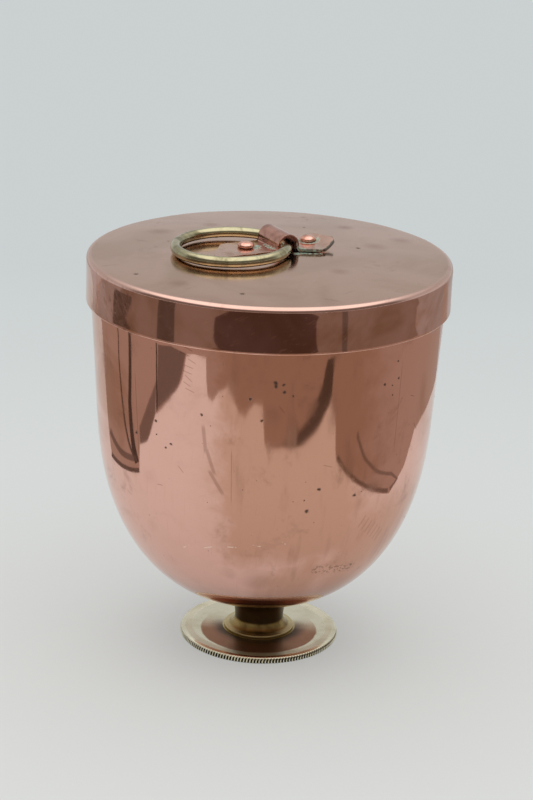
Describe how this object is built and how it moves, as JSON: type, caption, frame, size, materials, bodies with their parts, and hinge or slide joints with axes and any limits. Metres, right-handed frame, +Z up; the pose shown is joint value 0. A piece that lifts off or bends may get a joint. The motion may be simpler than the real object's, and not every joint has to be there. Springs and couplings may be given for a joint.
{
  "type": "tea caddy",
  "caption": "Round copper tea caddy: deep bowl on a waisted brass foot with a milled disc, overlapping lid with a brass ring handle in a riveted copper strap.",
  "frame": {"origin": "centre of the foot's underside, on the surface that the caddy stands on", "axes": "+Z up along the bowl's axis, +X to the right and +Y away from the viewer when the ring lies to the left"},
  "size_m": [0.135, 0.135, 0.1601],
  "materials": {
    "copper_bowl": "polished copper outside with fine scratches and pits, tinned inside",
    "copper_lid": "polished copper, satin on top, slightly tarnished",
    "copper_strap": "tarnished copper strip with verdigris in the corners",
    "copper_rivet": "polished copper",
    "brass_ring": "polished brass with a dull green tarnish on its inner side",
    "brass_foot": "turned and polished brass",
    "brass_fixing": "dull brass"
  },
  "bodies": {
    "base_body": {"bowl": "copper_bowl", "foot_neck": "brass_foot", "foot_disc": "brass_foot", "foot_screw": "brass_fixing", "foot_washer": "brass_fixing", "foot_nut": "brass_fixing"},
    "lid_body": {"lid": "copper_lid", "ring_strap": "copper_strap", "rivet_left": "copper_rivet", "rivet_right": "copper_rivet"},
    "ring_body": {"ring_handle": "brass_ring"}
  },
  "joints": [
    {"name": "lid_lift", "type": "slide", "parent": "base_body", "child": "lid_body", "axis": [0, 0, 1], "range_m": [0, 0.08]},
    {"name": "ring_swing", "type": "hinge", "parent": "lid_body", "child": "ring_body", "pos_m": [0.0029, 0.0039, 0.1561], "axis": [-0.4695, 0.8829, 0], "range_deg": [0, 176]}
  ]
}
